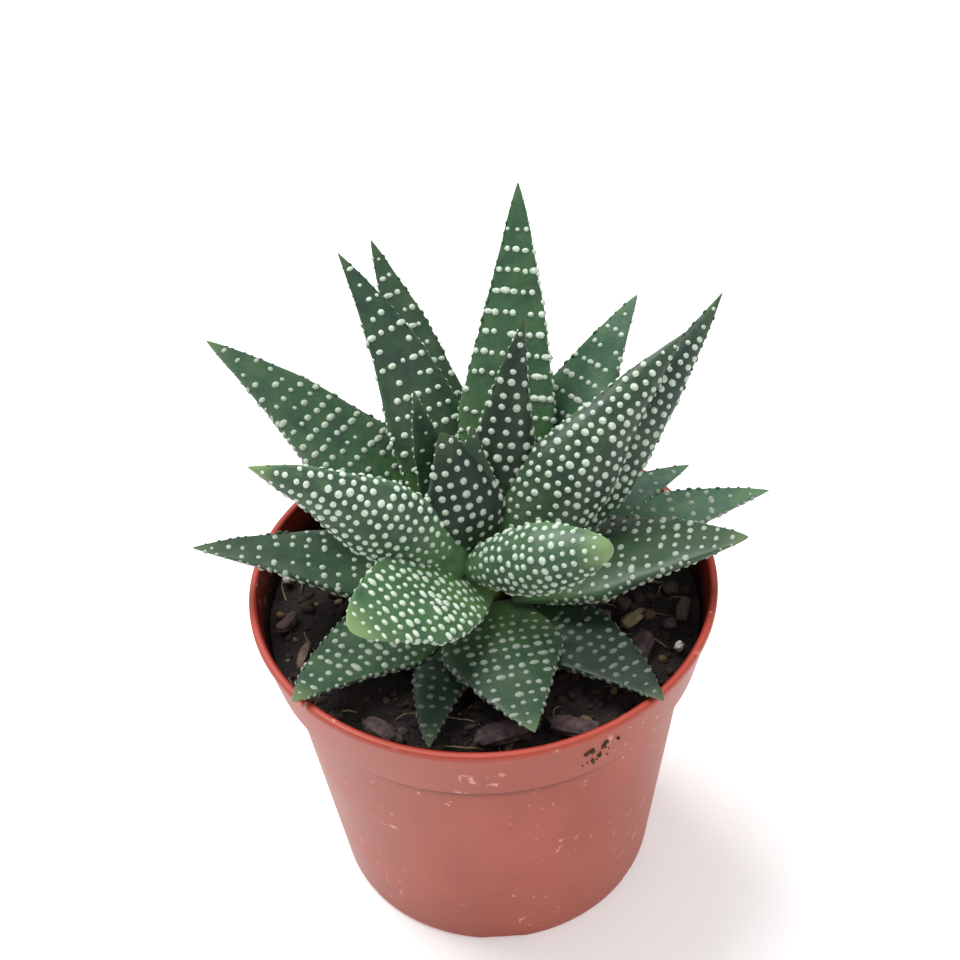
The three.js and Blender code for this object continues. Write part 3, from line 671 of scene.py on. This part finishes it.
def tubes(paths, radii, sides):
    """Closed tubes along paths (tube, point, xyz): at each point a circle across the path's
    direction, thinning towards both ends, with a pole at each end."""
    along = np.gradient(paths, axis=1)
    along /= np.linalg.norm(along, axis=-1, keepdims=True)
    side = np.cross(along, np.array([0.0, 0.0, 1.0]) + 0.01)
    side /= np.linalg.norm(side, axis=-1, keepdims=True)
    up = np.cross(side, along)
    angle = np.linspace(0, 2 * np.pi, sides, endpoint=False)
    steps = paths.shape[1]
    thin = 0.55 + 0.45 * np.sin(np.pi * np.linspace(0.08, 0.92, steps))
    size = (radii[:, None] * thin)[:, :, None, None]
    ring = up[:, :, None] * np.cos(angle)[:, None] + side[:, :, None] * np.sin(angle)[:, None]
    rings = paths[:, :, None] + size * ring
    points = np.concatenate([rings.reshape(len(paths), -1, 3), paths[:, :1], paths[:, -1:]], 1)
    faces = repeat_faces(loft_faces(steps, sides), len(paths), points.shape[1])
    return points, faces


def make_fibres():
    """Fine roots and bark fibres lying over the soil: short arcs that wander a little."""
    local = np.random.default_rng(21)
    count, steps = FIBRES, 9
    start = random_ring(count, 18, SOIL_EDGE - 3, local)
    heading = local.uniform(0, 2 * np.pi, count)
    bend = local.uniform(-0.16, 0.16, count)
    length = local.uniform(3, 11, count)
    s = np.linspace(0, 1, steps)
    angle = heading[:, None] + bend[:, None] * steps * s
    x = start[:, :1] + np.cumsum(np.cos(angle), 1) * length[:, None] / steps
    y = start[:, 1:2] + np.cumsum(np.sin(angle), 1) * length[:, None] / steps
    shrink = np.minimum(1, (SOIL_EDGE - 1) / np.maximum(np.hypot(x, y), 1))
    x, y = x * shrink, y * shrink
    z = soil_surface(x, y) + 0.3 + 0.8 * np.sin(np.pi * s) * local.uniform(0, 1, (count, 1))
    radii = local.uniform(0.12, 0.32, count)
    points, faces = tubes(np.stack([x, y, z], -1), radii, 5)
    tones = np.repeat(local.uniform(0.2, 0.95, count), points.shape[1])
    add_piece("root_fibres", points.reshape(-1, 3), faces, BARK, attributes={"tone": tones})


def chip_frame(node):
    """Centre, two horizontal directions and half sizes of a chip's plain solid in the frame: the long
    direction is the one in which its corners spread most."""
    corners = np.array([v.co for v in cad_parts[node].data.vertices]) / MM
    centre = (corners.min(0) + corners.max(0)) / 2
    flat = corners[:, :2] - centre[:2]
    _, _, axes = np.linalg.svd(flat)
    along, across = axes
    half = np.array([np.abs(flat @ along).max(), np.abs(flat @ across).max(), np.ptp(corners[:, 2]) / 2])
    return centre, along, across, half


def make_chip(node, tone, seed):
    """A broken bark chip: a flattened sphere with squared ends, ridged along its grain and roughened."""
    centre, along, across, half = chip_frame(node)
    unit, faces = lump_template(18, 40)
    square = np.sign(unit) * np.abs(unit) ** 0.7
    square /= np.abs(square).max(0)
    ridges = 0.12 * noise(square * np.array([0.6, 3.2, 2.0]) + seed, 0.5, seed)
    chips = 0.18 * noise(square + seed, 0.55, seed + 1)
    shape = square * (0.9 + ridges + chips)[:, None] * half
    shape[:, 2] += half[2] * 0.5 * np.sin(square[:, 0] * 2 + seed)
    points = centre + np.stack([
        shape[:, 0] * along[0] + shape[:, 1] * across[0],
        shape[:, 0] * along[1] + shape[:, 1] * across[1],
        shape[:, 2] - half[2] * 0.2,
    ], -1)
    add_piece(node + "_broken", points, faces, BARK, [node], {"tone": np.full(len(points), tone)})


def make_grain(node, seed):
    """A perlite grain: a pitted round lump as big as its plain solid in the frame."""
    low, high = (np.array(corner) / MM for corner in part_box(node))
    unit, faces = lump_template(16, 28)
    shape = unit * (1 + 0.25 * noise(unit * 2.2 + seed, 1.0, seed))[:, None]
    points = (low + high) / 2 + shape * (high - low) / 2
    add_piece(node + "_pitted", points, faces, PERLITE, [node])


def make_specks():
    """Dried soil specks stuck to the collar at the front, in one loose cluster."""
    local = np.random.default_rng(33)
    count = SPECKS
    angle = np.radians(local.normal(-64.5, 2.6, count))
    z = local.uniform(COLLAR_BOTTOM + 3, LIP_BOTTOM - 2.5, count)
    radius = COLLAR_BOTTOM_RADIUS + COLLAR_TAPER * (z - COLLAR_BOTTOM) / (LIP_BOTTOM - COLLAR_BOTTOM)
    spots = np.stack([radius * np.cos(angle), radius * np.sin(angle), z], -1)
    radii = 0.16 + 0.5 * local.uniform(0, 1, count) ** 2
    scatter_lumps("collar_specks", spots, radii, 1.2, 0.4, lump_template(6, 9), PEAT,
                  local.uniform(0.05, 0.3, count), 34)


def make_stem():
    """The stem: a dome-topped cone from the soil up, slightly ringed by leaf scars."""
    z = np.linspace(stem_low.z / MM, stem_high.z / MM, 60)
    rise = (z - z[0]) / (z[-1] - z[0])
    radius = np.interp(rise, [0, 0.45, 0.96, 1], [4, 6, 2.5, 0]) * (1 + 0.03 * np.sin(z * 4))
    radius[0] = radius[-1] = 0
    points, faces = revolve(np.stack([radius, z], -1), 48)
    add_piece("leaf_stem", points, faces, STEM, ["stem"])


# ---- Leaves --------------------------------------------------------------------------------------
def polar(spot):
    """A plan spot (angle in degrees, radius, height over the top of the stem) as a point."""
    angle = math.radians(spot[0])
    return np.array([spot[1] * math.cos(angle), spot[1] * math.sin(angle), STEM_TOP + spot[2]])


def share(leaf, t):
    """Share of a leaf's full width and depth at t: a quarter sine from its base share at the root to 1
    where it is fullest, then a power of what is left of the length."""
    start, full = leaf.get("base", BASE_SHARE), leaf.get("fullest", FULLEST)
    rise = start + (1 - start) * np.sin(np.clip(t / full, 0, 1) * np.pi / 2)
    fall = (np.clip(1 - t, 0, 1) / (1 - full)) ** leaf["taper"]
    return np.where(t < full, rise, fall)


def leaf_point(leaf, t, a):
    """The leaf's skin at t along it and a round it. The spine is a quadratic curve; the section is
    two half ellipses back to back, the inner one nearly flat and the outer one deep with a keel that
    grows towards the tip. a is 0 and pi on the margins and pi / 2 in the middle of the inner side."""
    root, tip = polar(leaf["root"]), polar(leaf["tip"])
    along = (tip - root) / np.linalg.norm(tip - root)
    side = np.cross([0, 0, 1], along)
    side /= np.linalg.norm(side)
    up = np.cross(along, side)
    middle = (root + tip) / 2 + 2 * leaf["arch"] * up + 2 * leaf["sway"] * side
    s = t[..., None]
    centre = (1 - s) ** 2 * root + 2 * s * (1 - s) * middle + s ** 2 * tip
    tangent = (1 - s) * (middle - root) + s * (tip - middle)
    tangent /= np.linalg.norm(tangent, axis=-1, keepdims=True)
    inner = up - (tangent @ up)[..., None] * tangent
    inner /= np.linalg.norm(inner, axis=-1, keepdims=True)
    across = np.cross(inner, tangent)
    twist = math.radians(leaf["twist"])
    face = inner * math.cos(twist) + across * math.sin(twist)
    edge = across * math.cos(twist) - inner * math.sin(twist)
    half_width = leaf["width"] / 2 * share(leaf, t)
    depth = leaf["depth"] * share(leaf, t)
    up_share = INNER_SHARE * np.sin(a) * (1.3 - 0.5 * np.sin(a))
    keel = 0.14 * smoothstep(t, 0.3, 0.8) * np.clip(-np.sin(a), 0, 1) ** 6
    down_share = (1 - INNER_SHARE) * np.sin(a) * (0.93 + keel)
    height = depth * np.where(np.sin(a) > 0, up_share, down_share)
    return centre + edge * (half_width * np.cos(a))[..., None] + face * height[..., None]


def leaf_relief(points, t, seed):
    """The skin made uneven: swellings of 9 and 3 millimetres, fading out at the tip."""
    swell = 0.35 * noise(points, 9, seed) + 0.12 * noise(points, 3, seed + 1)
    return swell * np.clip((1 - t) * 4, 0, 1)


def section_marks(a):
    """How far the angle a round a leaf is on the outer side, and how near a margin, from 0 to 1."""
    return smoothstep(-np.sin(a), -0.1, 0.3), np.abs(np.cos(a)) ** 10


def wart_rows(leaf, length, low, high, band, spacing, spread, skip, local):
    """Warts on one side of a leaf, in rows across it that lie one band apart: (t, a) for each. In a row
    they are spaced evenly over the arc of the section from low to high, half a space over in every
    other row; spread is the scatter, as a share of the spacing, and skip the share left out."""
    spots = []
    count = max(int(length * ROWS_SPAN / band), 1)
    reach = np.linspace(low, high, 41)
    for row, t in enumerate(ROWS_START + ROWS_SPAN * (np.arange(count) + 0.5) / count):
        section = leaf_point(leaf, np.full_like(reach, t), reach)
        arc = np.concatenate([[0], np.cumsum(np.linalg.norm(np.diff(section, axis=0), axis=1))])
        width = arc[-1] - spacing
        number = max(int(round(width / spacing)) + row % 2, 1)
        place = arc[-1] / 2 + (np.arange(number) - (number - 1) / 2) * spacing
        place += local.uniform(-spread, spread, number) * spacing
        on_skin = (place > 0.3 * spacing) & (place < arc[-1] - 0.3 * spacing)
        keep = (local.uniform(0, 1, number) > skip) & on_skin
        shift = local.uniform(-spread, spread, keep.sum()) * min(band, spacing) / length
        spots.append(np.stack([t + shift, np.interp(place[keep], arc, reach)], -1))
    return np.concatenate(spots)


def margin_warts(length, local):
    """Warts along both margins, close together, some left out."""
    count = int(length * MARGIN_SPAN / MARGIN_SPACING)
    t = MARGIN_START + MARGIN_SPAN * (np.arange(count) + 0.5) / count
    sides = [np.stack([t + local.uniform(-0.3, 0.3, count) * MARGIN_SPACING / length,
                       middle + local.uniform(-0.14, 0.14, count)], -1) for middle in (0, np.pi)]
    spots = np.concatenate(sides)
    return spots[local.uniform(0, 1, len(spots)) > 0.12]


def wart_template(sides=8):
    """One wart: rings at (radius, height) from a skirt under the skin up to a low crown, with poles at
    the bottom and the top, and how white each ring is."""
    profile = np.array([(0, -0.3), (1.08, -0.3), (0.98, 0.08), (0.7, 0.38), (0.34, 0.54), (0, 0.58)])
    points, faces = revolve(profile, sides)
    white = np.concatenate([np.repeat([0.0, 0.6, 0.95, 1.0], sides), [0.0, 1.0]])
    return points, faces, white


def make_leaf(index, leaf, look):
    """One leaf: its skin as a lofted grid, and its warts as low domes set on the skin and turned to
    its normal, all in one mesh."""
    seed = 100 + 10 * index
    local = np.random.default_rng(seed)
    length = np.linalg.norm(polar(leaf["tip"]) - polar(leaf["root"]))
    rings, sides = max(int(length * 0.9), 24), 48
    t = 1 - (1 - np.linspace(0, 0.998, rings)) ** 1.3
    a = np.linspace(0, 2 * np.pi, sides, endpoint=False)
    tt, aa = np.meshgrid(t, a, indexing="ij")

    def skin(t, a):
        points = leaf_point(leaf, t, a)
        around = leaf_point(leaf, t, a + NUDGE) - points
        onward = leaf_point(leaf, t + NUDGE, a) - points
        normal = np.cross(around, onward)
        normal /= np.linalg.norm(normal, axis=-1, keepdims=True) + 1e-12
        return points + normal * leaf_relief(points, t, seed)[..., None], normal

    body, _ = skin(np.minimum(tt, 0.9985), aa)
    body = np.concatenate([body.reshape(-1, 3), [body[0].mean(0), polar(leaf["tip"])]])
    outer_side, margin_near = section_marks(aa.ravel())

    dense = look["band"] < look["dot"]
    inner = wart_rows(leaf, length, 0, np.pi, look["band"], look["dot"], 0.13, 0.02 if dense else 0.1, local)
    outer = wart_rows(leaf, length, np.pi, 2 * np.pi, look["outer"] * 0.87, look["outer"], 0.13, 0.02, local)
    margin = margin_warts(length, local)
    places = np.concatenate([inner, outer, margin])
    radii = np.concatenate([
        local.uniform(0.72, 1.14, len(inner)) * INNER_WART,
        local.uniform(0.75, 1.12, len(outer)) * OUTER_WART * min(look["outer"] / 3, 1) ** 0.5,
        local.uniform(0.6, 1.2, len(margin)) * MARGIN_WART,
    ])
    stretch = np.concatenate([
        1 + 0.9 * local.uniform(0, 1, len(inner)) ** 3,
        local.uniform(0.95, 1.15, len(outer)),
        local.uniform(0.9, 1.2, len(margin)),
    ])
    wt, wa = places[:, 0], places[:, 1]
    radii = radii * (0.62 + 0.38 * smoothstep(1 - wt, 0.02, 0.3)) * (0.75 + 0.25 * smoothstep(wt, 0.1, 0.4))
    if leaf["width"] < SLIM_WIDTH:
        radii = radii * SLIM_WART
    spots, normal = skin(wt, wa)
    sideways = leaf_point(leaf, wt, wa + NUDGE) - leaf_point(leaf, wt, wa)
    sideways /= np.linalg.norm(sideways, axis=-1, keepdims=True)
    lengthways = np.cross(normal, sideways)
    unit, wart_faces, white = wart_template()
    shape = unit[None] * radii[:, None, None]
    warts = (spots[:, None] + sideways[:, None] * (shape[..., :1] * stretch[:, None, None])
             + lengthways[:, None] * shape[..., 1:2] + normal[:, None] * shape[..., 2:])
    points = np.concatenate([body, warts.reshape(-1, 3)])
    more = repeat_faces(wart_faces, len(places), len(unit))
    faces = loft_faces(rings, sides) + [numbers + len(body) for numbers in more]

    # Each attribute is given for the skin's grid, its root and tip poles, and then every wart's points.
    wart_outer, wart_near = section_marks(wa)
    attributes = {
        "along": np.concatenate([tt.ravel(), [0, 1], np.repeat(wt, len(unit))]),
        "outer": np.concatenate([outer_side, [0, 0.5], np.repeat(wart_outer, len(unit))]),
        "edge": np.concatenate([margin_near, [0, 1], np.repeat(wart_near, len(unit))]),
        "wart": np.concatenate([np.zeros(len(body)), np.tile(white, len(places))]),
    }
    attributes["tip"] = smoothstep((1 - attributes["along"]) * length, 7, 0.5) * look["ripe"]
    # tone, light and white are the same all over a leaf; light and white carry its painted light and shade
    # along with its age.
    for key in ("tone", "light", "white"):
        attributes[key] = np.full(len(points), look[key])
    node = f"leaf_{index + 1:02d}"
    add_piece(node + "_fleshy", points, faces, LEAF_SKIN, [node], attributes)


make_pot()
make_soil()
make_crumbs()
make_fibres()
make_specks()
make_stem()
for index, tone in enumerate(CHIP_TONES):
    make_chip(f"bark_chip_{index + 1:02d}", tone, seed=60 + index)
for index in range(PERLITE_GRAINS):
    make_grain(f"perlite_grain_{index + 1:02d}", seed=80 + index)
for index, (leaf, look) in enumerate(zip(LEAVES, LOOKS)):
    make_leaf(index, leaf, look)


# ---- Floor and light -----------------------------------------------------------------------------
def add_floor():
    """A plain white table of matt acrylic, lit softly from below so that shadows on it stay pale."""
    material, tree, shader = new_material("matt_white_acrylic_table")
    shader.inputs["Base Color"].default_value = colour("#F4F4F4")
    shader.inputs["Roughness"].default_value = 0.9
    shader.inputs["Emission Color"].default_value = (1, 1, 1, 1)
    shader.inputs["Emission Strength"].default_value = 0.27
    mesh = bpy.data.meshes.new("floor")
    reach = 6.0
    corners = [(-reach, -reach, 0), (reach, -reach, 0), (reach, reach, 0), (-reach, reach, 0)]
    mesh.from_pydata(corners, [], [(0, 1, 2, 3)])
    mesh.materials.append(material)
    floor = bpy.data.objects.new("floor", mesh)
    bpy.context.scene.collection.objects.link(floor)


def add_light(name, place, size, power):
    """A square softbox aimed at the middle of the plant; place and size in metres, power in watts."""
    data = bpy.data.lights.new(name, "AREA")
    data.size = size
    data.energy = power
    light = bpy.data.objects.new(name, data)
    light.location = place
    light.rotation_mode = "QUATERNION"
    light.rotation_quaternion = (Vector((0, 0, 0.1)) - Vector(place)).to_track_quat("-Z", "Y")
    bpy.context.scene.collection.objects.link(light)


add_floor()
add_light("softbox", (-0.5, 0.45, 1.4), 1.0, 26)
add_light("fill", (0.9, -0.9, 0.9), 1.0, 4)
world = bpy.data.worlds.new("studio")
world.use_nodes = True
background = world.node_tree.nodes["Background"]
background.inputs["Color"].default_value = (1, 1, 1, 1)
background.inputs["Strength"].default_value = 0.55
bpy.context.scene.world = world
bpy.context.scene.view_settings.view_transform = "Standard"
